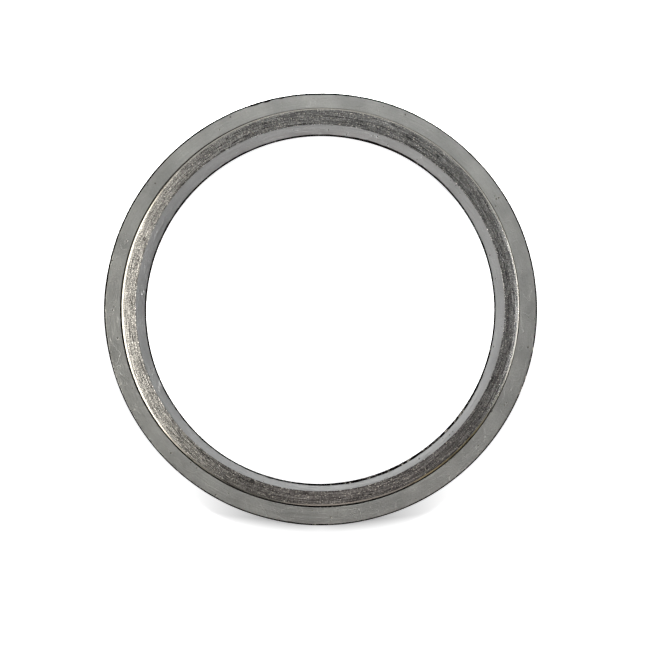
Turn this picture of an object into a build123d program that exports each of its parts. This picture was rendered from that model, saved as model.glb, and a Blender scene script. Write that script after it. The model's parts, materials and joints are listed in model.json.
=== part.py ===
from build123d import *

import os

# Spiral wound gasket for a raised-face pipe flange (DN 250, PN 16), lying flat.
# Origin: on the axis, at half the thickness. +Z is the axis. Millimetres.

# Diameters and thicknesses
bore_diameter = 266.0
winding_inner_diameter = 279.0
winding_outer_diameter = 302.0
outer_ring_diameter = 329.0
ring_thickness = 3.2
winding_thickness = 4.5

# The strip is rolled to a vee, whose apex stands outwards at half height
vee_depth = 1.6
strip_thickness = 0.2

# The filler is laid between the turns, apart from some plain turns of strip at each side
filler_turns = 9
inner_plain_width = 2 * strip_thickness
outer_plain_width = 4 * strip_thickness
filler_recess = 0.25

# The outer ring's groove is wider than the winding's vee, so the ring stands clear at its faces
face_gap = 0.45
rim_edge_break = 0.5

# Worked out from the above
ring_half = ring_thickness / 2
winding_half = winding_thickness / 2
face_inner_radius = winding_inner_diameter / 2
face_outer_radius = winding_outer_diameter / 2
inner_apex_radius = face_inner_radius + vee_depth
outer_apex_radius = face_outer_radius + vee_depth
flank_run = vee_depth * (winding_half - ring_half) / winding_half
inner_ring_radius = face_inner_radius + flank_run
outer_ring_bore_radius = face_outer_radius + flank_run + face_gap
grooved_width = face_outer_radius - face_inner_radius - inner_plain_width - outer_plain_width
pitch = grooved_width / (filler_turns + 1)
first_groove_radius = face_inner_radius + inner_plain_width + 0.75 * pitch
blank_allowance = 3.0


def grooved_section(first_groove, turn_centre):
    """Section of the winding's two faces: a vee groove over each turn of filler,
    a crest at each strip edge, and plain ends that the vee flanks are cut from."""
    inner_end = turn_centre + face_inner_radius - blank_allowance
    outer_end = turn_centre + face_outer_radius + blank_allowance
    first_crest = turn_centre + first_groove - pitch / 2
    top = [(inner_end, winding_half), (first_crest, winding_half)]
    for turn in range(filler_turns):
        groove = turn_centre + first_groove + turn * pitch
        top.append((groove, winding_half - filler_recess))
        top.append((groove + pitch / 2, winding_half))
    top.append((outer_end, winding_half))
    bottom = [(radius, -height) for radius, height in reversed(top)]
    return top + bottom


# Inner ring: plain bore, and a vee ridge that fills the hollow inner side of the winding
with BuildPart() as inner_ring:
    with BuildSketch(Plane.XZ):
        with BuildLine():
            Polyline(
                (bore_diameter / 2, -ring_half),
                (inner_ring_radius, -ring_half),
                (inner_apex_radius, 0),
                (inner_ring_radius, ring_half),
                (bore_diameter / 2, ring_half),
                close=True,
            )
        make_face()
    revolve(axis=Axis.Z)

# Winding: one roll of strip and filler. Each half is turned about its own centre, a quarter
# pitch off the axis, so that a turn leaves one half half a pitch further out and runs on
# into the other half as a true spiral. The vee flanks stay concentric with the rings.
with BuildPart() as winding:
    for side, first_groove in ((1, first_groove_radius), (-1, first_groove_radius + pitch / 2)):
        turn_centre = side * pitch / 4
        with BuildSketch(Plane.XZ):
            with BuildLine():
                Polyline(*grooved_section(first_groove, turn_centre), close=True)
            make_face()
        revolve(axis=Axis((turn_centre, 0, 0), (0, 0, side)), revolution_arc=180)
    with BuildSketch(Plane.XZ):
        with BuildLine():
            Polyline(
                (face_inner_radius, winding_half),
                (face_outer_radius, winding_half),
                (outer_apex_radius, 0),
                (face_outer_radius, -winding_half),
                (face_inner_radius, -winding_half),
                (inner_apex_radius, 0),
                close=True,
            )
        make_face()
    revolve(axis=Axis.Z, mode=Mode.INTERSECT)

# Outer ring: centres the gasket inside the bolts, and holds the winding's apex in its groove
with BuildPart() as outer_ring:
    with BuildSketch(Plane.XZ):
        with BuildLine():
            Polyline(
                (outer_ring_bore_radius, -ring_half),
                (outer_ring_diameter / 2, -ring_half),
                (outer_ring_diameter / 2, ring_half),
                (outer_ring_bore_radius, ring_half),
                (outer_apex_radius, 0),
                close=True,
            )
        make_face()
    revolve(axis=Axis.Z)
    rim_edges = outer_ring.edges().filter_by(GeomType.CIRCLE).group_by(SortBy.RADIUS)[-1]
    chamfer(rim_edges, length=rim_edge_break)

inner_ring.part.label = "inner_ring"
winding.part.label = "winding"
outer_ring.part.label = "outer_ring"

os.makedirs("parts", exist_ok=True)
export_step(inner_ring.part, "parts/inner_ring.step")
export_step(winding.part, "parts/winding.step")
export_step(outer_ring.part, "parts/outer_ring.step")
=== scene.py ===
import json
import math
import bpy
import numpy as np
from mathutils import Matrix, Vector


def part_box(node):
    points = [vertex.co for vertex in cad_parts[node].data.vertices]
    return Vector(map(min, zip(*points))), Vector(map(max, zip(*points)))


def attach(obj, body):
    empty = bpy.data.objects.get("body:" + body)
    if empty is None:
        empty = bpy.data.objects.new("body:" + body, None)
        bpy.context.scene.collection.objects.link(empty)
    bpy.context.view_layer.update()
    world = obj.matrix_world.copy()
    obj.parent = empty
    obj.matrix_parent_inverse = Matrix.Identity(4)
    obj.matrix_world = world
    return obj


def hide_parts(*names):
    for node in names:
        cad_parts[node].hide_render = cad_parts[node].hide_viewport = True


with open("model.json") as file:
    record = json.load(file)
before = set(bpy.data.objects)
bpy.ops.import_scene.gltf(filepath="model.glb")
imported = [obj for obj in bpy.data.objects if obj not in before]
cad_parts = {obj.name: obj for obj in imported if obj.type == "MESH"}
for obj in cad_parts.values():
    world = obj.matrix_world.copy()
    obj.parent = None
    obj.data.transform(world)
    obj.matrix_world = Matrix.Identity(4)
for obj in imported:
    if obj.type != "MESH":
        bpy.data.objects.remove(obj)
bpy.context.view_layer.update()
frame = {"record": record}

mm = 0.001
mounts = {mount["name"]: mount for mount in frame["record"]["mounts"]}

# sizes shared by the pieces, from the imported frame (metres)
rimRadius = mounts["rim"]["dims"]["r_mm"] * mm
boreRadius = mounts["bore"]["dims"]["r_mm"] * mm
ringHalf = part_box("outer_ring")[1][2]
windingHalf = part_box("winding")[1][2]
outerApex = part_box("winding")[1][0]
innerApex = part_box("inner_ring")[1][0]

vee = {
    "depth": 1.6 * mm,     # apex stands this far outside the faces
    "faceGap": 0.45 * mm,  # outer ring stands clear of the winding at its faces
}
faceOuter = outerApex - vee["depth"]
faceInner = innerApex - vee["depth"]
flankRun = vee["depth"] * (windingHalf - ringHalf) / windingHalf

# A gasket put together by hand is never quite round or concentric. Each circle has its centre
# in the gasket's plane (mm), how much larger its radius is than drawn (mm), its lobes: how many
# there are, how high (mm), and which way one of them points (degrees from +X), and its swells:
# where each is and how wide (degrees), and how high (mm).
circles = {
    "rim": {"centre": (0.0, 0.0), "larger": 0.0, "lobes": [(2, 0.12, 15)],
            "swells": [(67, 12, 0.42), (180, 9, 0.40), (255, 6, -0.2), (287, 8, -0.2)]},
    "seat": {"centre": (-0.35, 0.95), "larger": -0.12,      # hole of the outer ring
             "lobes": [(2, 0.39, 41), (3, 0.27, 73)], "swells": []},
    "outside": {"centre": (-0.20, 1.30), "larger": 0.10,   # of the winding
                "lobes": [(2, 0.55, 49), (3, 0.30, 79), (4, 0.12, 68)],
                "swells": [(180, 62, -0.35), (272, 12, -0.25), (15, 30, 0.25), (96, 20, 0.15),
                           (306, 18, 0.2)]},
    "inside": {"centre": (-0.42, 0.95), "larger": -0.1, "lobes": [(2, 0.50, 9)], "swells": []},
    "bore": {"centre": (-0.30, -0.48), "larger": -0.3, "lobes": [(2, 0.50, 39)],
             "swells": [(12, 25, -0.3), (75, 10, -0.2), (217, 14, -0.35), (305, 14, -0.15)]},
}


# Sum of bell curves round a circle, for its swells or for bites in an edge: each is its height
# times exp of minus the square of the angle from its place over its width. The heights' unit
# is the caller's.
def bellSum(angle, bells):
    total = np.zeros_like(angle)
    for place, width, height in bells:
        away = np.degrees(np.angle(np.exp(1j * (angle - math.radians(place)))))
        total += height * np.exp(-(away / width) ** 2)
    return total


# Shift of a circle's points: its centre, and along the radius what it is larger by plus, for
# each set of lobes, their height times the cosine of their number times the angle from one of
# them, plus its swells. Gives x and y as the last axis.
def shiftOf(name, angle):
    circle = circles[name]
    lobes = sum(high * np.cos(count * (angle - math.radians(way)))
                for count, high, way in circle["lobes"])
    out = circle["larger"] + lobes + bellSum(angle, circle["swells"])
    return mm * np.stack([circle["centre"][0] + out * np.cos(angle),
                          circle["centre"][1] + out * np.sin(angle)], axis=-1)


# sRGB hex to linear: c/12.92 at the dark end, else ((c + 0.055)/1.055) to the power 2.4
def srgb(code):
    parts = [int(code[i:i + 2], 16) / 255 for i in (1, 3, 5)]
    linear = [c / 12.92 if c <= 0.04045 else ((c + 0.055) / 1.055) ** 2.4 for c in parts]
    return (*linear, 1.0)


# A grid of points [section, point] as quads. Each section is a closed loop joined to the next,
# and the last to the first where ringClosed. capped closes the two end sections. Edges that
# turn by more than sharpAngle (degrees) stay sharp.
def gridMesh(name, grid, ringClosed, sharpAngle, capped=False):
    count, width = grid.shape[:2]
    rows = np.arange(count if ringClosed else count - 1)[:, None]
    cols = np.arange(width)[None, :]
    nextRow = (rows + 1) % count
    nextCol = (cols + 1) % width
    corners = [rows * width + cols, rows * width + nextCol,
               nextRow * width + nextCol, nextRow * width + cols]
    quads = np.stack([np.broadcast_to(c, (rows.shape[0], width)) for c in corners], axis=2)
    faces = quads.reshape(-1, 4).tolist()
    if capped:
        faces.append(list(range(width))[::-1])
        faces.append(list(range((count - 1) * width, count * width)))
    mesh = bpy.data.meshes.new(name)
    mesh.from_pydata(grid.reshape(-1, 3), [], faces)
    mesh.polygons.foreach_set("use_smooth", np.ones(len(mesh.polygons), dtype=bool))
    mesh.set_sharp_from_angle(angle=math.radians(sharpAngle))
    mesh.update()
    piece = bpy.data.objects.new(name, mesh)
    bpy.context.scene.collection.objects.link(piece)
    return piece


# points of an arc in the section plane: centre plus radius times (cos, sin) of the angle
def arc(centreR, centreZ, radius, startDeg, endDeg, steps):
    angle = np.radians(np.linspace(startDeg, endDeg, steps))
    return np.stack([centreR + radius * np.cos(angle), centreZ + radius * np.sin(angle)], axis=1)


# evenly spaced points from start towards end, without the end
def line(startR, startZ, endR, endZ, steps):
    share = np.linspace(0, 1, steps, endpoint=False)[:, None]
    return np.array([[startR, startZ]]) * (1 - share) + np.array([[endR, endZ]]) * share


# A periodic wobble: sines of whole-number frequencies with random phases, each weaker as its
# frequency rises, added up and scaled so that the largest value is the amplitude.
def wobble(angle, rng, lowest, highest, amplitude):
    freq = np.arange(lowest, highest + 1)
    phase = rng.uniform(0, 2 * math.pi, len(freq))
    weight = rng.uniform(0.4, 1.0, len(freq)) / np.sqrt(freq)
    wave = (weight[:, None] * np.sin(freq[:, None] * angle[None, :] + phase[:, None])).sum(axis=0)
    return amplitude * wave / np.abs(wave).max()


ringShape = {
    "segments": 720,
    "rimBevel": (1.05 * mm, 0.7 * mm),   # width and height
    "boreBevel": (0.62 * mm, 0.7 * mm),
    "rimRagged": 0.10 * mm,       # how far the bevels' inner edges wander
    "boreRagged": 0.20 * mm,
    "rimWaves": (15, 90),         # fewest and most waves of that round the ring
    "boreWaves": (12, 110),
    "rimFade": 4 * mm,            # it dies out in the faces over this width
    "boreFade": 3 * mm,
    "lipRound": 0.08 * mm,
    "grooveClear": 0.5 * mm,      # the groove is cut this much deeper than the winding's apex
    "outerDroop": 0.15 * mm,      # the rings hang a little, away from the winding
    "innerDroop": 0.45 * mm,
    "pressedEdge": (0.9 * mm, 0.035 * mm),  # the inner ring's edge stands up by the winding
    "waviness": 0.02 * mm,
    "faceWaves": (1, 6),
    "bevelSteps": 4,
    "outerFaceSteps": 18,
    "innerFaceSteps": 20,
    "outerSeed": 3,
    "innerSeed": 5,
    # places where the cut bit deeper: angle and width in degrees, depth
    "rimNicks": [(104.5, 0.9, 0.9 * mm), (107.5, 1.5, 0.5 * mm), (100.5, 0.6, 0.5 * mm),
                 (92.0, 7.0, 0.3 * mm), (80.0, 36.0, 0.28 * mm), (150.0, 40.0, 0.4 * mm),
                 (180.0, 12.0, 0.25 * mm), (270.0, 9.0, 0.2 * mm), (20.0, 22.0, 0.15 * mm),
                 (262.0, 0.8, 0.4 * mm)],
    "boreNicks": [(288, 24, 0.95 * mm), (322, 16, 0.6 * mm), (66, 20, 0.42 * mm)],
}
ringTurn = np.linspace(0, 2 * math.pi, ringShape["segments"], endpoint=False)
touching = 1e-6   # points nearer than this to an edge lie on it


# Section points (r, z) turned about +Z: each point lies r along the radius from the blend of
# two circles' shifts, by its share of the second. edgeShift holds, for each angle, how far the
# bevel's inner edge is moved along the radius, and push the share of it for each section point.
# Faces between two cut points get the second material.
def turnedRing(name, section, share, firstCircle, secondCircle, push, edgeShift, cut, rng):
    wave = wobble(ringTurn, rng, *ringShape["faceWaves"], ringShape["waviness"])
    radius = section[None, :, 0] + push[None, :] * edgeShift[:, None]
    height = section[None, :, 1] + wave[:, None]
    blend = share[None, :, None]
    shift = (1 - blend) * shiftOf(firstCircle, ringTurn)[:, None] \
        + blend * shiftOf(secondCircle, ringTurn)[:, None]
    x = shift[..., 0] + radius * np.cos(ringTurn)[:, None]
    y = shift[..., 1] + radius * np.sin(ringTurn)[:, None]
    piece = gridMesh(name, np.stack([x, y, height], axis=2), ringClosed=True, sharpAngle=35)
    onCut = (cut & np.roll(cut, -1)).astype(np.int32)
    piece.data.polygons.foreach_set("material_index", np.tile(onCut, len(ringTurn)))
    return piece


# lowers both faces by depth times u squared, u running from 0 at start to 1 at end
def droop(section, start, end, depth):
    u = np.clip((section[:, 0] - start) / (end - start), 0, 1)
    return np.stack([section[:, 0], section[:, 1] - depth * u * u], axis=1)


# Section of the centring ring: a rounded lip, the upper face, the rim's bevel, the same below,
# and back to the bottom of the vee groove.
def makeOuterRing():
    rng = np.random.default_rng(ringShape["outerSeed"])
    lip = faceOuter + flankRun + vee["faceGap"]
    wide, high = ringShape["rimBevel"]
    soft = ringShape["lipRound"]
    faceEnd = rimRadius - wide
    top = np.concatenate([
        arc(lip + soft, ringHalf - soft, soft, 180, 100, 3),
        line(lip + soft, ringHalf, faceEnd, ringHalf, ringShape["outerFaceSteps"]),
        line(faceEnd, ringHalf, rimRadius, ringHalf - high, ringShape["bevelSteps"]),
        [[rimRadius, ringHalf - high]],
    ])
    groove = [[outerApex + ringShape["grooveClear"], 0.0]]
    section = np.concatenate([top, top[::-1] * np.array([1, -1]), groove])
    section = droop(section, lip, rimRadius, ringShape["outerDroop"])[::-1]
    radius, height = section.T
    share = np.clip((radius - lip) / (rimRadius - lip), 0, 1)
    # the push is whole at the bevel's inner edge and fades to the rim and into the face
    intoFace = 1 - (faceEnd - radius) / ringShape["rimFade"]
    push = np.clip(np.minimum((rimRadius - radius) / wide, intoFace), 0, 1)
    ragged = wobble(ringTurn, rng, *ringShape["rimWaves"], ringShape["rimRagged"])
    edgeShift = ragged - bellSum(ringTurn, ringShape["rimNicks"])
    # of the section's points, only the bottom of the groove lies so near the middle plane
    inGroove = (radius < lip + touching) | (np.abs(height) < ringHalf / 4)
    onBevel = radius > faceEnd - touching
    return turnedRing("outerRing", section, share, "seat", "rim", push, edgeShift,
                      onBevel | inGroove, rng)


# Section of the inner ring: the bore's bevel, the upper face, the vee ridge's apex, and the same
# below.
def makeInnerRing():
    rng = np.random.default_rng(ringShape["innerSeed"])
    wide, high = ringShape["boreBevel"]
    reach, rise = ringShape["pressedEdge"]
    outer = faceInner + flankRun
    faceStart = boreRadius + wide
    top = np.concatenate([
        line(boreRadius, ringHalf - high, faceStart, ringHalf, ringShape["bevelSteps"]),
        line(faceStart, ringHalf, outer, ringHalf, ringShape["innerFaceSteps"]),
        [[outer, ringHalf]],
    ])
    section = np.concatenate([top, [[innerApex, 0.0]], top[::-1] * np.array([1, -1])])
    section = droop(section, outer, boreRadius, ringShape["innerDroop"])
    onTop = section[:, 1] > ringHalf / 2
    section[:, 1] += rise * np.exp(-((outer - section[:, 0]) / reach) ** 2) * onTop
    section = section[::-1]
    radius = section[:, 0]
    share = np.clip((radius - boreRadius) / (outer - boreRadius), 0, 1)
    intoFace = 1 - (radius - faceStart) / ringShape["boreFade"]
    push = np.clip(np.minimum((radius - boreRadius) / wide, intoFace), 0, 1)
    ragged = wobble(ringTurn, rng, *ringShape["boreWaves"], ringShape["boreRagged"])
    edgeShift = ragged + bellSum(ringTurn, ringShape["boreNicks"])
    onBevel = radius < faceStart + touching
    return turnedRing("innerRing", section, share, "bore", "inside", push, edgeShift, onBevel,
                      rng)


windingShape = {
    "stepsPerTurn": 360,
    "strip": 0.2 * mm,
    "stripFills": 0.97,          # share of its place that it takes up
    "edgeLean": 0.04 * mm,       # its edge is this much lower on the outer side
    "innerPlainTurns": 2,
    "fillerTurns": 13,
    "outerPlainTurns": 5,
    "outerSlack": 0.35 * mm,     # the last turn lies this far inside the nominal circle
    "shoulderWidth": 2.0 * mm,   # the worn outer edge
    "shoulderDrop": 0.60 * mm,
    "crownWidth": 5.5 * mm,      # inside the shoulder the face already falls gently
    "crownDrop": 0.45 * mm,
    "shoulderSpared": (0.92, 250, 36),  # it is less on the -Y side: by which share, where
                                        # and how wide (degrees)
    "radialWander": 0.07 * mm,
    "heightWander": 0.03 * mm,
    "knotsPerTurn": 60,          # the wander is drawn at this many places a turn
    "knotsAveraged": 5,          # neighbours that make the slow wander
    "slowWander": 0.75,          # shares of the slow wander and of the knots themselves
    "fastWander": 0.4,
    "seed": 11,
    "fillerSunk": 0.02 * mm,     # filler below the edge of the strip inside it
    "fillerFall": (0.12 * mm, 0.24 * mm),  # its further fall to the next strip, at the
                                           # innermost and the outermost turns
}
plainIn = windingShape["innerPlainTurns"]
plainOut = plainIn + windingShape["fillerTurns"]
totalTurns = plainOut + windingShape["outerPlainTurns"]
windingOuter = faceOuter - windingShape["outerSlack"]
plainGrowth = windingShape["strip"] * (plainIn + windingShape["outerPlainTurns"] + 1)
pitch = (windingOuter - faceInner - plainGrowth) / windingShape["fillerTurns"]
spareTurns = 3   # knots past the last turn


# Random values at the knots, one row for the radius and one for the height: sums of neighbours,
# for a slow wander, and the values themselves, for a little of a fast one.
def drawKnots():
    rng = np.random.default_rng(windingShape["seed"])
    count = windingShape["knotsPerTurn"] * (totalTurns + spareTurns)
    drawn = rng.normal(0, 1, (2, count))
    averaged = windingShape["knotsAveraged"]
    window = np.ones(averaged) / averaged ** 0.5
    slow = np.array([np.convolve(row, window, "same") for row in drawn])
    return windingShape["slowWander"] * slow + windingShape["fastWander"] * drawn


wanderKnots = drawKnots()
# so low that the highest place of the turns just reaches the gasket's height
windingTop = windingHalf - windingShape["heightWander"] * wanderKnots[1].max()


# the knots' values, blended smoothly between them: row 0 for the radius, row 1 for the height
def wander(turns, row):
    place = np.clip(turns, 0, totalTurns + spareTurns / 2) * windingShape["knotsPerTurn"]
    low = np.floor(place).astype(int)
    share = place - low
    share = share * share * (3 - 2 * share)
    return wanderKnots[row][low] * (1 - share) + wanderKnots[row][low + 1] * share


# Radius of the strip's inner side at the faces. It grows by one strip thickness a turn in the
# plain turns and by the pitch a turn where filler lies between.
def spiralRadius(turns):
    inPlain = np.clip(turns, None, plainIn) + np.clip(turns - plainOut, 0, None)
    inFiller = np.clip(turns - plainIn, 0, windingShape["fillerTurns"])
    spread = np.clip(inFiller, 0, 1) * np.clip(plainOut - turns, 0, 1)
    stray = windingShape["radialWander"] * wander(turns, 0) * spread
    return faceInner + windingShape["strip"] * inPlain + pitch * inFiller + stray


# How far the face has fallen: the shoulder's drop times u squared plus the crown's drop times v
# squared, u and v running from 0 to 1 over the widths of the two. Less by a bell curve of the
# angle where the shoulder is spared.
def shoulder(radius, turns):
    inside = windingOuter - radius
    u = np.clip(1 - inside / windingShape["shoulderWidth"], 0, 1)
    v = np.clip(1 - inside / windingShape["crownWidth"], 0, 1)
    fall = windingShape["shoulderDrop"] * u ** 2 + windingShape["crownDrop"] * v ** 2
    share, where, wide = windingShape["shoulderSpared"]
    degrees = 360 * turns + 180
    away = (degrees - where + 180) % 360 - 180
    spared = 1 - share * np.exp(-(away / wide) ** 2)
    return fall * spared[:, None]


# the vee: depth times 1 - |z|/half thickness, so the apex stands out at half height
def veeOffset(height):
    return vee["depth"] * (1 - np.abs(height) / windingHalf)


# Polar to x, y, from the blend of the winding's inside and outside circles by the share of the
# way between them. Turns run anticlockwise from the -X side.
def placeSpiral(turns, radius, height):
    angle = 2 * math.pi * turns + math.pi
    share = np.clip((radius - faceInner) / (windingOuter - faceInner), 0, 1)[..., None]
    shift = (1 - share) * shiftOf("inside", angle)[:, None] \
        + share * shiftOf("outside", angle)[:, None]
    x = shift[..., 0] + radius * np.cos(angle)[:, None]
    y = shift[..., 1] + radius * np.sin(angle)[:, None]
    return np.stack([x, y, height], axis=2)


# gives each section's points a value of their own, for the materials to read
def markPoints(piece, name, values, width):
    mark = piece.data.attributes.new(name, "FLOAT", "POINT")
    mark.data.foreach_set("value", np.repeat(values, width).astype(np.float32))


# Section of the strip swept along the spiral: up its inner side, over the edge, down its outer
# side and under. Where filler lies between the turns, the edges lean outwards a little, as a
# roller leaves them.
def makeSteelStrip():
    turns = np.linspace(0, totalTurns, totalTurns * windingShape["stepsPerTurn"] + 1)
    inner = spiralRadius(turns)[:, None]
    # 1 in the turns beside filler, falling to 0 over a turn towards the inside and the outside
    inFiller = np.clip(turns - 1, 0, 1) * np.clip(plainOut + 0.5 - turns, 0, 1)
    lift = (windingShape["heightWander"] * wander(turns, 1) * inFiller)[:, None]
    # across the section: share of the thickness, share of the height
    across = np.array([0.0, 0.0, 0.0, 0.12, 0.88, 1.0, 1.0, 1.0, 0.88, 0.12])
    level = np.array([-0.985, 0.0, 0.985, 1.0, 1.0, 0.985, 0.0, -0.985, -1.0, -1.0])
    flat = inner + windingShape["stripFills"] * windingShape["strip"] * across[None, :]
    lean = windingShape["edgeLean"] * across[None, :] * inFiller[:, None]
    height = level[None, :] * (windingTop - shoulder(flat, turns) + lift - lean)
    piece = gridMesh("steelStrip", placeSpiral(turns, flat + veeOffset(height), height),
                     ringClosed=False, capped=True, sharpAngle=30)
    # 1 where the edges are smeared and rough, 0 on the outer plain turns, which lie smooth
    markPoints(piece, "roughPly", np.clip((plainOut + 0.6 - turns) / 0.5, 0, 1), len(across))
    # 1 on the inner plain turns, falling to 0 over the next turn
    markPoints(piece, "innerPly", np.clip(plainIn + 1.2 - turns, 0, 1), len(across))
    return piece


# The tape between one turn of strip and the next: its thickness is what the two turns leave,
# and its edges slope down outwards from one strip to the next.
def makeFiller():
    # its ends lie just clear of where the two turns of strip meet
    first = plainIn + 0.02
    last = plainOut + 0.98
    turns = np.linspace(first, last, int((last - first) * windingShape["stepsPerTurn"]) + 1)
    inside = (spiralRadius(turns - 1) + windingShape["strip"])[:, None]
    outside = spiralRadius(turns)[:, None]
    # about one over root two, as the two turns wander apart from each other
    both = 0.7 * (wander(turns - 1, 1) + wander(turns, 1))
    lift = (windingShape["heightWander"] * both)[:, None]
    # across the section: share of the thickness, side of the gasket, share of the fall
    across = np.array([0.0, 0.0, 0.0, 0.35, 0.7, 1.0, 1.0, 1.0, 0.7, 0.35])
    level = np.array([-1.0, 0.0, 1.0, 1.0, 1.0, 1.0, 0.0, -1.0, -1.0, -1.0])
    slope = np.array([0.0, 0.0, 0.0, 0.3, 0.75, 1.0, 0.0, 1.0, 0.75, 0.3])
    flat = inside + (outside - inside) * across[None, :]
    fall = np.interp(turns, [first, last], windingShape["fillerFall"])[:, None]
    sunk = windingShape["fillerSunk"] + slope[None, :] * fall
    height = level[None, :] * (windingTop - shoulder(flat, turns) + lift - sunk)
    piece = gridMesh("graphiteFiller", placeSpiral(turns, flat + veeOffset(height), height),
                     ringClosed=False, capped=True, sharpAngle=50)
    # 1 on the filler's first turn, falling to 0 over the next
    markPoints(piece, "innerPly", np.clip(first + 1.8 - turns, 0, 1), len(across))
    return piece


def newMaterial(name):
    material = bpy.data.materials.new(name)
    material.use_nodes = True
    material.node_tree.nodes.clear()
    return material, material.node_tree


# Adds one node. inputs holds socket name or number to a value or to another node's output,
# settings are the node's own properties, and it gives back the output asked for. A Map Range
# has its value at 0, its from range at 1 and 2 and its to range at 3 and 4. A colour Mix has
# its share at 0, its two colours at 6 and 7, and its output at 2.
def add(tree, kind, inputs=None, output=0, **settings):
    made = tree.nodes.new(kind)
    for key, value in settings.items():
        setattr(made, key, value)
    for key, value in (inputs or {}).items():
        if isinstance(value, bpy.types.NodeSocket):
            tree.links.new(value, made.inputs[key])
        else:
            made.inputs[key].default_value = value
    return made.outputs[output] if made.outputs else None


# Coordinates that follow the turns: (x/r, y/r) times R/alongLength, R being the winding's inner
# radius, and r/acrossWidth as height. A noise of scale 1 on them has cells of that length along
# a turn and that width across it.
def alongTurns(tree, alongLength, acrossWidth):
    place = add(tree, "ShaderNodeTexCoord", output="Object")
    flat = add(tree, "ShaderNodeVectorMath", {0: place, 1: (1.0, 1.0, 0.0)}, operation="MULTIPLY")
    radius = add(tree, "ShaderNodeVectorMath", {0: flat}, "Value", operation="LENGTH")
    unit = add(tree, "ShaderNodeVectorMath", {0: flat}, operation="NORMALIZE")
    turned = add(tree, "ShaderNodeVectorMath", {0: unit, "Scale": faceInner / alongLength},
                 operation="SCALE")
    across = add(tree, "ShaderNodeMath", {0: radius, 1: acrossWidth}, operation="DIVIDE")
    rise = add(tree, "ShaderNodeCombineXYZ", {"Z": across})
    return add(tree, "ShaderNodeVectorMath", {0: turned, 1: rise}, operation="ADD")


# How far a point lies towards one side of the gasket: 0 on the middle line and 1 at the radius
# given, on the side at that many degrees from +X.
def towardsSide(tree, degrees, radius):
    place = add(tree, "ShaderNodeTexCoord", output="Object")
    angle = math.radians(degrees)
    way = (math.cos(angle) / radius, math.sin(angle) / radius, 0.0)
    return add(tree, "ShaderNodeVectorMath", {0: place, 1: way}, "Value",
               operation="DOT_PRODUCT")


# Metal surface with a chain of bumps, each a height socket and the depth in metres that a
# height of 1 stands for.
def metalSurface(tree, colour, roughness, bumps):
    normal = add(tree, "ShaderNodeNewGeometry", output="Normal")
    for height, depth in bumps:
        normal = add(tree, "ShaderNodeBump", {"Height": height, "Distance": depth,
                                              "Normal": normal})
    surface = add(tree, "ShaderNodeBsdfPrincipled", {
        "Base Color": colour, "Roughness": roughness, "Metallic": 1.0, "Normal": normal})
    add(tree, "ShaderNodeOutputMaterial", {"Surface": surface})


# For each ring: its tones, how its surface leans outwards and towards +X and +Y (rise per
# length), its roughness, from which radius graphite is smeared on it to which, and how much
# brighter two opposite sides are painted, a painted sheen, and where (degrees).
outerSteel = {
    "name": "rolled stainless plate, outer ring",
    "light": "#999a97", "dark": "#868785", "pit": "#4c4b48",
    "lean": 0.075, "rollLean": (0.023, 0.075, 0.0),
    "roughness": (0.34, 0.44),
    "smear": (151.5 * mm, 152.9 * mm),
    "paintedSideSheen": (0.0, 0),
}
innerSteel = {
    "name": "turned stainless plate, inner ring",
    "light": "#a7a8a8", "dark": "#9b9c9c", "pit": "#5c5c5b",
    "lean": 0.14, "rollLean": (-0.105, 0.067, 0.0),
    "roughness": (0.32, 0.42),
    "smear": (139.9 * mm, 139.1 * mm),
    "paintedSideSheen": (0.12, 55),
}
plateMarks = {
    "grainLong": 22 * mm,
    "grainWide": 0.9 * mm,       # some 0.1 mm on the plate, drawn wider so that it shows
    "cloud": 28 * mm,
    "mottle": 1.3 * mm,
    "pitSpacing": 5 * mm,
    "pitGroups": 9 * mm,         # pits are large in some places and missing in others
    "pitRadius": 0.17,           # of the largest, in spacings
    "scratchField": 15 * mm,
    "scratchHalf": 0.004,        # half the width of a scratch, in levels of its noise
    "smearLong": 2.2 * mm,
    "smearWide": 1.2 * mm,
}


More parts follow.
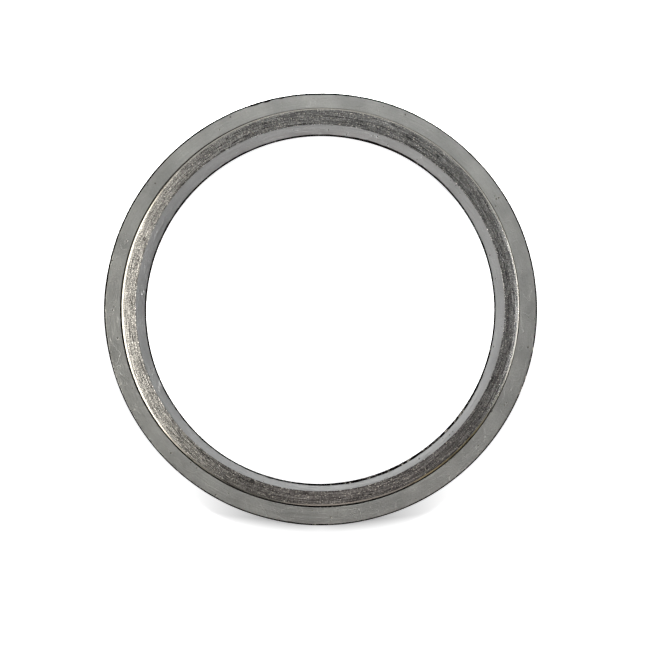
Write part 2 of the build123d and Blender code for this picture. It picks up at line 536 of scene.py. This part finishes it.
# Rolled stainless plate, cut to a ring and faced: a satin grey with a faint circular grain,
# hair scratches and small dark pits, and a little graphite beside the winding. The fine grooves
# left by turning and by rolling lean to one side, which gives the surface a lean of its own.
def ringSteel(look):
    material, tree = newMaterial(look["name"])
    place = add(tree, "ShaderNodeTexCoord", output="Object")
    flat = add(tree, "ShaderNodeVectorMath", {0: place, 1: (1.0, 1.0, 0.0)}, operation="MULTIPLY")
    radius = add(tree, "ShaderNodeVectorMath", {0: flat}, "Value", operation="LENGTH")
    grain = add(tree, "ShaderNodeTexNoise", {
        "Vector": alongTurns(tree, plateMarks["grainLong"], plateMarks["grainWide"]),
        "Scale": 1.0, "Detail": 3.0, "Roughness": 0.65})
    cloud = add(tree, "ShaderNodeTexNoise", {
        "Vector": place, "Scale": 1 / plateMarks["cloud"], "Detail": 3.0})
    mottle = add(tree, "ShaderNodeTexNoise", {
        "Vector": place, "Scale": 1 / plateMarks["mottle"], "Detail": 2.0, "Roughness": 0.6})
    # painted sheen, brighter at two opposite sides: 1 + amount (2 u squared - 1), u the way
    # towards them
    amount, side = look["paintedSideSheen"]
    alongSide = towardsSide(tree, side, boreRadius)
    squared = add(tree, "ShaderNodeMath", {0: alongSide, 1: alongSide}, operation="MULTIPLY")
    paintedSideSheen = add(tree, "ShaderNodeMath", {0: squared, 1: 2 * amount, 2: 1 - amount},
               operation="MULTIPLY_ADD")
    # a pit reaches as far from its middle as a second noise allows
    pitPlace = add(tree, "ShaderNodeTexVoronoi", {
        "Vector": place, "Scale": 1 / plateMarks["pitSpacing"]}, "Distance", feature="F1")
    pitSize = add(tree, "ShaderNodeTexNoise", {
        "Vector": place, "Scale": 1 / plateMarks["pitGroups"]})
    pitEdge = add(tree, "ShaderNodeMapRange", {0: pitSize, 1: 0.38, 2: 0.62, 3: 0.0,
                                               4: plateMarks["pitRadius"]})
    pitDepth = add(tree, "ShaderNodeMath", {0: pitEdge, 1: pitPlace}, operation="SUBTRACT")
    pit = add(tree, "ShaderNodeMapRange", {0: pitDepth, 1: 0.0, 2: 0.05, 3: 0.0, 4: 0.85})
    # hair scratches: thin lines where a distorted noise passes its middle value
    scratchField = add(tree, "ShaderNodeTexNoise", {
        "Vector": place, "Scale": 1 / plateMarks["scratchField"], "Detail": 1.0,
        "Distortion": 0.6})
    onScratch = add(tree, "ShaderNodeMath", {
        0: scratchField, 1: 0.5, 2: plateMarks["scratchHalf"]}, operation="COMPARE")
    scratch = add(tree, "ShaderNodeMath", {0: onScratch, 1: grain}, operation="MULTIPLY")
    cloudShare = add(tree, "ShaderNodeMapRange", {0: cloud, 1: 0.35, 2: 0.65})
    tone = add(tree, "ShaderNodeMix", {0: cloudShare, 6: srgb(look["light"]),
                                       7: srgb(look["dark"])}, 2, data_type="RGBA")
    grainShare = add(tree, "ShaderNodeMapRange", {0: grain, 1: 0.4, 2: 0.75, 3: 0.0, 4: 0.6})
    tone = add(tree, "ShaderNodeMix", {0: grainShare, 6: tone, 7: srgb(look["dark"])}, 2,
               data_type="RGBA")
    speckle = add(tree, "ShaderNodeMapRange", {0: mottle, 1: 0.3, 2: 0.7, 3: 0.95, 4: 1.05})
    tone = add(tree, "ShaderNodeVectorMath", {0: tone, "Scale": speckle}, operation="SCALE")
    # the painted sheen on two opposite sides
    tone = add(tree, "ShaderNodeVectorMath", {0: tone, "Scale": paintedSideSheen}, operation="SCALE")
    tone = add(tree, "ShaderNodeMix", {0: pit, 6: tone, 7: srgb(look["pit"])}, 2,
               data_type="RGBA")
    # graphite rubbed off the winding, in patches that thin out from its edge
    smeared, clean = look["smear"]
    near = add(tree, "ShaderNodeMapRange", {0: radius, 1: clean, 2: smeared, 3: 0.0, 4: 0.3})
    patch = add(tree, "ShaderNodeTexNoise", {
        "Vector": alongTurns(tree, plateMarks["smearLong"], plateMarks["smearWide"]),
        "Scale": 1.0, "Detail": 1.0})
    rubbed = add(tree, "ShaderNodeMath", {0: near, 1: patch}, operation="ADD")
    smear = add(tree, "ShaderNodeMapRange", {0: rubbed, 1: 0.95, 2: 1.03, 3: 0.0, 4: 0.85})
    tone = add(tree, "ShaderNodeMix", {0: smear, 6: tone, 7: srgb(look["pit"])}, 2,
               data_type="RGBA")
    smooth, matt = look["roughness"]
    roughness = add(tree, "ShaderNodeMapRange", {0: mottle, 1: 0.2, 2: 0.8, 3: smooth, 4: matt})
    rolled = add(tree, "ShaderNodeVectorMath", {0: place, 1: look["rollLean"]}, "Value",
                 operation="DOT_PRODUCT")
    metalSurface(tree, tone, roughness, [
        (radius, look["lean"]), (rolled, 1.0), (grain, 0.2 * mm), (mottle, 0.13 * mm),
        (pit, -0.2 * mm), (scratch, 0.25 * mm)])
    return material


# the painted dark shade on the bevels, and the bright steel that shows through it
edgeShadeLook = {
    "edgeShade": "#262223", "steel": "#b9b5ae",
    "patch": 2.4 * mm,
    "bare": (0.64, 0.72),        # noise levels between which the steel comes through
    "barest": 0.7,
    "wornSide": 305,             # degrees
    "wornExtra": 0.10,           # how much the noise is raised there
    "wornSpread": (0.82, 0.95),  # where that starts and is whole, in bore radii
    "wornEnd": 1.08,             # and where it ends
}


# Painted shade on the bevels of the rim and of the bore: nearly black and matt, a painted dark
# edge line, rubbed through to bright steel in small spots.
def paintEdgeShade():
    material, tree = newMaterial("black scale on cut steel")
    place = add(tree, "ShaderNodeTexCoord", output="Object")
    rub = add(tree, "ShaderNodeTexNoise", {"Vector": place, "Scale": 1 / edgeShadeLook["patch"],
                                           "Detail": 3.0, "Roughness": 0.7})
    # rubbed more in a band across one side, which takes in the bore there and two short
    # stretches of the rim
    nearWorn = towardsSide(tree, edgeShadeLook["wornSide"], boreRadius)
    inBand = add(tree, "ShaderNodeMath", {0: nearWorn, 1: edgeShadeLook["wornEnd"]},
                 operation="LESS_THAN")
    start, whole = edgeShadeLook["wornSpread"]
    extra = add(tree, "ShaderNodeMapRange", {0: nearWorn, 1: start, 2: whole, 3: 0.0,
                                             4: edgeShadeLook["wornExtra"]})
    extraInBand = add(tree, "ShaderNodeMath", {0: extra, 1: inBand}, operation="MULTIPLY")
    rubbed = add(tree, "ShaderNodeMath", {0: rub, 1: extraInBand}, operation="ADD")
    first, last = edgeShadeLook["bare"]
    bare = add(tree, "ShaderNodeMapRange", {0: rubbed, 1: first, 2: last, 3: 0.0,
                                            4: edgeShadeLook["barest"]})
    tone = add(tree, "ShaderNodeMix", {0: bare, 6: srgb(edgeShadeLook["edgeShade"]),
                                       7: srgb(edgeShadeLook["steel"])}, 2, data_type="RGBA")
    bump = add(tree, "ShaderNodeBump", {"Height": rub, "Distance": 0.3 * mm})
    surface = add(tree, "ShaderNodeBsdfPrincipled", {
        "Base Color": tone, "Metallic": bare, "Roughness": 0.6, "Specular IOR Level": 0.0,
        "Normal": bump})
    add(tree, "ShaderNodeOutputMaterial", {"Surface": surface})
    return material


# what strip and filler have in common
woundLook = {
    "streakWide": 0.6 * mm,
    "streaks": (0.36, 0.64),     # noise levels from light to dark
    "scuff": 0.8 * mm,
    "scuffs": (0.47, 0.55),      # noise levels from clean to scuffed
    "scuffShare": 0.42,
    "tickSize": (0.8 * mm, 2.4 * mm),  # along and across the turns
    "ticks": (0.40, 0.55),       # noise levels from darkest to lightest
    "tickDark": (0.62, 0.8),     # darkest, on the -X side and on the +X side of the bore
    "tickLight": 1.05,
    "patch": (1.8 * mm, 1.2 * mm),  # of graphite and painted shade over the innermost turns
    "patches": (0.5, 0.66),      # noise levels from covered to clean
    "patchClean": 1.25,
}
stripLook = {
    "light": "#b9b8b6", "dark": "#7d7c7a", "scuffed": "#4f4e4d",
    "streakLong": 18 * mm,
    "inner": 0.6,                # level of the innermost turns where graphite and painted shade darken them
    "speck": "#f2f0ea",
    "speckSize": 1.3 * mm,
    "cover": (13 * mm, 0.62 * mm),
    "tinted": "#9a9891", "straw": "#b5aa8a",
    "weldSide": 312,             # degrees
    "weldSpread": (0.87, 0.895),  # where the straw tint starts and is whole, in rim radii
    "blackBelow": (1.15 * mm, 1.45 * mm),  # heights between which the graphite and painted shade on the sides fade out
    "blackLevel": 0.06,
}


# Streaks along the turns from the light tone to the dark, with fine scuffs over them. Gives the
# tone, and the noises of the streaks, the scuffs and of ticks across the turns.
def woundTone(tree, look):
    place = add(tree, "ShaderNodeTexCoord", output="Object")
    streak = add(tree, "ShaderNodeTexNoise", {
        "Vector": alongTurns(tree, look["streakLong"], woundLook["streakWide"]),
        "Scale": 1.0, "Detail": 1.0})
    scuff = add(tree, "ShaderNodeTexNoise", {
        "Vector": place, "Scale": 1 / woundLook["scuff"], "Detail": 2.0, "Roughness": 0.6})
    tick = add(tree, "ShaderNodeTexNoise", {
        "Vector": alongTurns(tree, *woundLook["tickSize"]), "Scale": 1.0, "Detail": 1.0})
    first, last = woundLook["streaks"]
    streakShare = add(tree, "ShaderNodeMapRange", {0: streak, 1: first, 2: last})
    tone = add(tree, "ShaderNodeMix", {0: streakShare, 6: srgb(look["light"]),
                                       7: srgb(look["dark"])}, 2, data_type="RGBA")
    first, last = woundLook["scuffs"]
    scuffShare = add(tree, "ShaderNodeMapRange", {0: scuff, 1: first, 2: last, 3: 0.0,
                                                  4: woundLook["scuffShare"]})
    tone = add(tree, "ShaderNodeMix", {0: scuffShare, 6: tone, 7: srgb(look["scuffed"])}, 2,
               data_type="RGBA")
    return tone, streak, scuff, tick


# ticks across the turns darken the tone, most on the -X side
def crossTicks(tree, tone, tick):
    place = add(tree, "ShaderNodeTexCoord", output="Object")
    x = add(tree, "ShaderNodeSeparateXYZ", {0: place}, "X")
    left, right = woundLook["tickDark"]
    least = add(tree, "ShaderNodeMapRange", {0: x, 1: -boreRadius, 2: boreRadius, 3: left,
                                             4: right})
    first, last = woundLook["ticks"]
    factor = add(tree, "ShaderNodeMapRange", {0: tick, 1: first, 2: last, 3: least,
                                              4: woundLook["tickLight"]})
    return add(tree, "ShaderNodeVectorMath", {0: tone, "Scale": factor}, operation="SCALE")


# Graphite squeezed out over the innermost turns, with painted shade of the gap beside the inner
# ring: in patches the tone is multiplied by level there, and between them by a little over 1.
def innerGraphiteAndShade(tree, tone, level):
    inner = add(tree, "ShaderNodeAttribute", output="Fac", attribute_name="innerPly")
    patch = add(tree, "ShaderNodeTexNoise", {
        "Vector": alongTurns(tree, *woundLook["patch"]), "Scale": 1.0, "Detail": 2.0})
    first, last = woundLook["patches"]
    least = add(tree, "ShaderNodeMapRange", {0: patch, 1: first, 2: last, 3: level,
                                             4: woundLook["patchClean"]})
    factor = add(tree, "ShaderNodeMapRange", {0: inner, 1: 0.0, 2: 1.0, 3: 1.0, 4: least})
    return add(tree, "ShaderNodeVectorMath", {0: tone, "Scale": factor}, operation="SCALE")


# Stainless strip, slit and wound: bright slit edges smeared with graphite in places, and outer
# plain turns with a straw heat tint from the welding that holds them.
def stripSteel():
    material, tree = newMaterial("slit stainless strip")
    place = add(tree, "ShaderNodeTexCoord", output="Object")
    tone, streak, scuff, tick = woundTone(tree, stripLook)
    tone = innerGraphiteAndShade(tree, tone, stripLook["inner"])
    # bright specks where the innermost turns are rubbed clean
    speck = add(tree, "ShaderNodeTexNoise", {
        "Vector": place, "Scale": 1 / stripLook["speckSize"]})
    clean = add(tree, "ShaderNodeMapRange", {0: speck, 1: 0.57, 2: 0.61})
    inner = add(tree, "ShaderNodeAttribute", output="Fac", attribute_name="innerPly")
    cleanInner = add(tree, "ShaderNodeMath", {0: clean, 1: inner}, operation="MULTIPLY")
    tone = add(tree, "ShaderNodeMix", {0: cleanInner, 6: tone, 7: srgb(stripLook["speck"])}, 2,
               data_type="RGBA")
    # whole stretches of a turn are covered over
    cover = add(tree, "ShaderNodeTexNoise", {
        "Vector": alongTurns(tree, *stripLook["cover"]), "Scale": 1.0, "Detail": 1.0})
    covered = add(tree, "ShaderNodeMapRange", {0: cover, 1: 0.46, 2: 0.52, 3: 0.0, 4: 0.55})
    tone = add(tree, "ShaderNodeMix", {0: covered, 6: tone, 7: srgb(stripLook["scuffed"])}, 2,
               data_type="RGBA")
    tone = crossTicks(tree, tone, tick)
    # the outer plain turns are clean, with a tint that is strongest where the last was welded
    rough = add(tree, "ShaderNodeAttribute", output="Fac", attribute_name="roughPly")
    nearWeld = towardsSide(tree, stripLook["weldSide"], rimRadius)
    start, whole = stripLook["weldSpread"]
    welded = add(tree, "ShaderNodeMapRange", {0: nearWeld, 1: start, 2: whole})
    tint = add(tree, "ShaderNodeMix", {0: welded, 6: srgb(stripLook["tinted"]),
                                       7: srgb(stripLook["straw"])}, 2, data_type="RGBA")
    tone = add(tree, "ShaderNodeMix", {0: rough, 6: tint, 7: tone}, 2, data_type="RGBA")
    # down its sides the strip is black with graphite and with painted shade deep in the gaps
    # beside the rings
    rise = add(tree, "ShaderNodeSeparateXYZ", {0: place}, "Z")
    fromMiddle = add(tree, "ShaderNodeMath", {0: rise}, operation="ABSOLUTE")
    low, high = stripLook["blackBelow"]
    clear = add(tree, "ShaderNodeMapRange", {0: fromMiddle, 1: low, 2: high,
                                             3: stripLook["blackLevel"], 4: 1.0})
    tone = add(tree, "ShaderNodeVectorMath", {0: tone, "Scale": clear}, operation="SCALE")
    roughness = add(tree, "ShaderNodeMapRange", {0: streak, 1: 0.3, 2: 0.7, 3: 0.22, 4: 0.36})
    bumps = []
    for height, depth in ((streak, 0.05 * mm), (scuff, 0.2 * mm), (tick, 0.2 * mm)):
        held = add(tree, "ShaderNodeMath", {0: height, 1: rough}, operation="MULTIPLY")
        bumps.append((held, depth))
    metalSurface(tree, tone, roughness, bumps)
    return material


fillerLook = {
    "light": "#9d9d9b", "dark": "#676765", "scuffed": "#363636",
    "streakLong": 20 * mm,
    # the painted shade in the grooves where the tape has torn out
    "line": "#242425",
    "lineSpread": (26 * mm, 1.0 * mm),
    "lineHalf": 0.035,           # half the width of a line, in levels of its noise
    "grooveShadeShare": 0.9,
    "inner": 0.55,               # level of the innermost turns where graphite and painted shade darken them
    # near white, a painted glint on the flakes
    "glintFlake": "#eceae4",
    "flakeSize": 1.0 * mm,
}


# Flexible graphite tape, pressed between the turns: dark grey with a dull metallic sheen,
# scuffed in both directions, with dark lines of painted groove shade where it has torn out, and
# flakes painted near white as glints.
def fillerGraphite():
    material, tree = newMaterial("pressed flexible graphite")
    place = add(tree, "ShaderNodeTexCoord", output="Object")
    tone, streak, scuff, tick = woundTone(tree, fillerLook)
    tone = crossTicks(tree, tone, tick)
    # thin dark lines of painted groove shade, where a stretched noise passes its middle value
    lineField = add(tree, "ShaderNodeTexNoise", {
        "Vector": alongTurns(tree, *fillerLook["lineSpread"]), "Scale": 1.0, "Detail": 0.0})
    onLine = add(tree, "ShaderNodeMath", {0: lineField, 1: 0.5, 2: fillerLook["lineHalf"]},
                 operation="COMPARE")
    grooveShadeShare = add(tree, "ShaderNodeMath", {0: onLine, 1: fillerLook["grooveShadeShare"]},
                    operation="MULTIPLY")
    tone = add(tree, "ShaderNodeMix", {0: grooveShadeShare, 6: tone, 7: srgb(fillerLook["line"])}, 2,
               data_type="RGBA")
    tone = innerGraphiteAndShade(tree, tone, fillerLook["inner"])
    # flakes painted near white, in place of their glints
    glintFlake = add(tree, "ShaderNodeTexNoise", {
        "Vector": place, "Scale": 1 / fillerLook["flakeSize"]})
    paintedGlintShare = add(tree, "ShaderNodeMapRange", {0: glintFlake, 1: 0.645, 2: 0.665})
    tone = add(tree, "ShaderNodeMix", {0: paintedGlintShare, 6: tone, 7: srgb(fillerLook["glintFlake"])}, 2,
               data_type="RGBA")
    # a flake is made matt, so that its painted glint shows from every side
    satin = add(tree, "ShaderNodeMapRange", {0: tick, 1: 0.3, 2: 0.7, 3: 0.28, 4: 0.42})
    roughness = add(tree, "ShaderNodeMath", {0: satin, 1: paintedGlintShare}, operation="MAXIMUM")
    metalSurface(tree, tone, roughness, [(streak, 0.05 * mm), (tick, 0.22 * mm),
                                         (scuff, 0.2 * mm), (glintFlake, 0.2 * mm)])
    return material


outerRing = makeOuterRing()
innerRing = makeInnerRing()
print("rings made")
steelStrip = makeSteelStrip()
graphiteFiller = makeFiller()
print("winding made, pitch", round(pitch / mm, 3), "mm")

edgeShade = paintEdgeShade()
outerRing.data.materials.append(ringSteel(outerSteel))
innerRing.data.materials.append(ringSteel(innerSteel))
# the bevels of both rings get the painted edge shade
outerRing.data.materials.append(edgeShade)
innerRing.data.materials.append(edgeShade)
steelStrip.data.materials.append(stripSteel())
graphiteFiller.data.materials.append(fillerGraphite())
for piece, nodeName in ((outerRing, "outer_ring"), (innerRing, "inner_ring"),
                        (steelStrip, "winding"), (graphiteFiller, "winding")):
    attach(piece, "root")
    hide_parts(nodeName)
print("materials done")


floorShape = {
    "half": 4.0,
    "albedo": "#e7e7e7",
    "shade": 0.58,                     # how much of the white is left to the lamp, at most
    "shadeCentre": (0.0, -122.8 * mm, 0.0),
    "shadeHalf": (115.6 * mm, 45.6 * mm),  # an oval under the -Y side
    "shadeEdge": (0.893, 1.052),       # where it fades, in shares of those half widths
    "shadeSides": (42 * mm, 100 * mm),  # it also fades to the left and right, over these
    "middleHalf": 15 * mm,             # and grows weaker within this of the middle
    "middleShare": 0.72,               # to this share of itself
}


# Plain white paper at the height that the gasket rests on. It shows white to the camera and in
# reflections, less an oval on the -Y side where the lamp makes up the rest, so that the
# gasket's shadow shows there.
def makeFloor():
    half = floorShape["half"]
    mesh = bpy.data.meshes.new("floor")
    corners = [(-half, -half, -windingHalf), (half, -half, -windingHalf),
               (half, half, -windingHalf), (-half, half, -windingHalf)]
    mesh.from_pydata(corners, [], [(0, 1, 2, 3)])
    floor = bpy.data.objects.new("floor", mesh)
    bpy.context.scene.collection.objects.link(floor)
    material, tree = newMaterial("floor paper")
    place = add(tree, "ShaderNodeTexCoord", output="Object")
    halfX, halfY = floorShape["shadeHalf"]
    offset = add(tree, "ShaderNodeVectorMath", {0: place, 1: floorShape["shadeCentre"]},
                 operation="SUBTRACT")
    scaled = add(tree, "ShaderNodeVectorMath", {0: offset, 1: (1 / halfX, 1 / halfY, 0.0)},
                 operation="MULTIPLY")
    ovalWay = add(tree, "ShaderNodeVectorMath", {0: scaled}, "Value", operation="LENGTH")
    offsetX = add(tree, "ShaderNodeSeparateXYZ", {0: offset}, "X")
    sideWay = add(tree, "ShaderNodeMath", {0: offsetX}, operation="ABSOLUTE")
    start, end = floorShape["shadeEdge"]
    inOval = add(tree, "ShaderNodeMapRange", {0: ovalWay, 1: start, 2: end, 3: 1.0, 4: 0.0})
    start, end = floorShape["shadeSides"]
    inWidth = add(tree, "ShaderNodeMapRange", {0: sideWay, 1: start, 2: end, 3: 1.0, 4: 0.0})
    offMiddle = add(tree, "ShaderNodeMapRange", {0: sideWay, 1: 0.0,
                                                 2: floorShape["middleHalf"],
                                                 3: floorShape["middleShare"], 4: 1.0})
    inBoth = add(tree, "ShaderNodeMath", {0: inOval, 1: inWidth}, operation="MINIMUM")
    shaded = add(tree, "ShaderNodeMath", {0: inBoth, 1: offMiddle}, operation="MULTIPLY")
    glow = add(tree, "ShaderNodeMapRange", {0: shaded, 3: 1.0, 4: 1 - floorShape["shade"]})
    cameraRay = add(tree, "ShaderNodeLightPath", output="Is Camera Ray")
    path = cameraRay.node.outputs
    seen = add(tree, "ShaderNodeMath", {0: cameraRay, 1: path["Is Glossy Ray"]},
               operation="MAXIMUM")
    seen = add(tree, "ShaderNodeMath", {0: seen, 1: path["Is Transmission Ray"]},
               operation="MAXIMUM")
    strength = add(tree, "ShaderNodeMath", {0: seen, 1: glow}, operation="MULTIPLY")
    paper = add(tree, "ShaderNodeBsdfDiffuse", {"Color": srgb(floorShape["albedo"])})
    shine = add(tree, "ShaderNodeEmission", {"Strength": strength})
    surface = add(tree, "ShaderNodeAddShader", {0: paper, 1: shine})
    add(tree, "ShaderNodeOutputMaterial", {"Surface": surface})
    mesh.materials.append(material)
    return floor


roomLevel = 0.05


# white where the camera looks past the floor, and a dim room for everything else
def makeWorld():
    world = bpy.data.worlds.new("studio")
    bpy.context.scene.world = world
    world.use_nodes = True
    tree = world.node_tree
    tree.nodes.clear()
    seen = add(tree, "ShaderNodeLightPath", output="Is Camera Ray")
    level = add(tree, "ShaderNodeMapRange", {0: seen, 3: roomLevel, 4: 1.0})
    sky = add(tree, "ShaderNodeBackground", {"Color": (1.0, 1.0, 1.0, 1.0), "Strength": level})
    add(tree, "ShaderNodeOutputWorld", {"Surface": sky})


# Softboxes far enough away that every part of the gasket sees them in the same direction: where
# each stands (turn from +X and angle down from the zenith, degrees), its half width and half
# height as seen from the gasket, how bright it is and its tint. Only reflections see them.
softboxes = {
    "ceilingBox": {"turn": 80, "down": 7, "half": (13.5, 12), "bright": 3.14, "tint": "#ffffff"},
    "leftBox": {"turn": 184, "down": 66, "half": (34, 17), "bright": 10.4, "tint": "#fff9ef"},
    "rightBox": {"turn": 1, "down": 80, "half": (22, 7), "bright": 21, "tint": "#ffffff"},
    "backBox": {"turn": 82, "down": 66, "half": (54, 22), "bright": 1.5, "tint": "#ffffff"},
    "frontBox": {"turn": 284, "down": 45, "half": (20, 12), "bright": 1.7, "tint": "#fff2ee"},
}
softboxDistance = 5.0

# A low strip lamp on the +Y side, for the paper alone: it throws the gasket's shadow to -Y.
shadowStrip = {"from": (0.0, 500 * mm, 140 * mm), "aim": (0.0, -165 * mm, 0.0),
               "size": (600 * mm, 60 * mm), "bright": 165.0}


# A rectangular lamp that faces the aim point and shows either in reflections or as light on
# the paper. Its power is its radiance times its area times pi.
def addLamp(name, location, aim, size, bright, tint, glossy):
    data = bpy.data.lights.new(name, "AREA")
    data.shape = "RECTANGLE"
    data.size, data.size_y = size
    data.energy = bright * size[0] * size[1] * math.pi
    data.color = srgb(tint)[:3]
    lamp = bpy.data.objects.new(name, data)
    bpy.context.scene.collection.objects.link(lamp)
    lamp.location = location
    lamp.rotation_mode = "QUATERNION"
    lamp.rotation_quaternion = (Vector(aim) - lamp.location).to_track_quat("-Z", "Y")
    lamp.visible_camera = False
    lamp.visible_glossy = glossy
    lamp.visible_diffuse = not glossy
    return lamp


def makeLamps(floor):
    for name, box in softboxes.items():
        turn, down = math.radians(box["turn"]), math.radians(box["down"])
        way = Vector((math.cos(turn) * math.sin(down), math.sin(turn) * math.sin(down),
                      math.cos(down)))
        size = [2 * softboxDistance * math.tan(math.radians(half)) for half in box["half"]]
        addLamp(name, way * softboxDistance, (0.0, 0.0, 0.0), size, box["bright"], box["tint"],
                glossy=True)
    strip = addLamp("shadowStrip", shadowStrip["from"], shadowStrip["aim"], shadowStrip["size"],
                    shadowStrip["bright"], "#ffffff", glossy=False)
    paperOnly = bpy.data.collections.new("paper only")
    paperOnly.objects.link(floor)
    strip.light_linking.receiver_collection = paperOnly


cameraSettings = {
    "distance": 600 * mm,     # from the rings' upper face
    "viewWidth": 489.8 * mm,  # width seen at that face
    "aim": (1.32 * mm, -10.05 * mm),
    "sensor": 36.0,
}


# looks straight down, with +Y up in the picture
def makeCamera():
    data = bpy.data.cameras.new("camera")
    data.sensor_width = cameraSettings["sensor"]
    data.lens = cameraSettings["sensor"] * cameraSettings["distance"] / cameraSettings["viewWidth"]
    camera = bpy.data.objects.new("camera", data)
    camera.location = (*cameraSettings["aim"], ringHalf + cameraSettings["distance"])
    bpy.context.scene.collection.objects.link(camera)
    bpy.context.scene.camera = camera


floor = makeFloor()
makeWorld()
makeLamps(floor)
makeCamera()
bpy.context.scene.view_settings.view_transform = "Standard"
print("stage done")
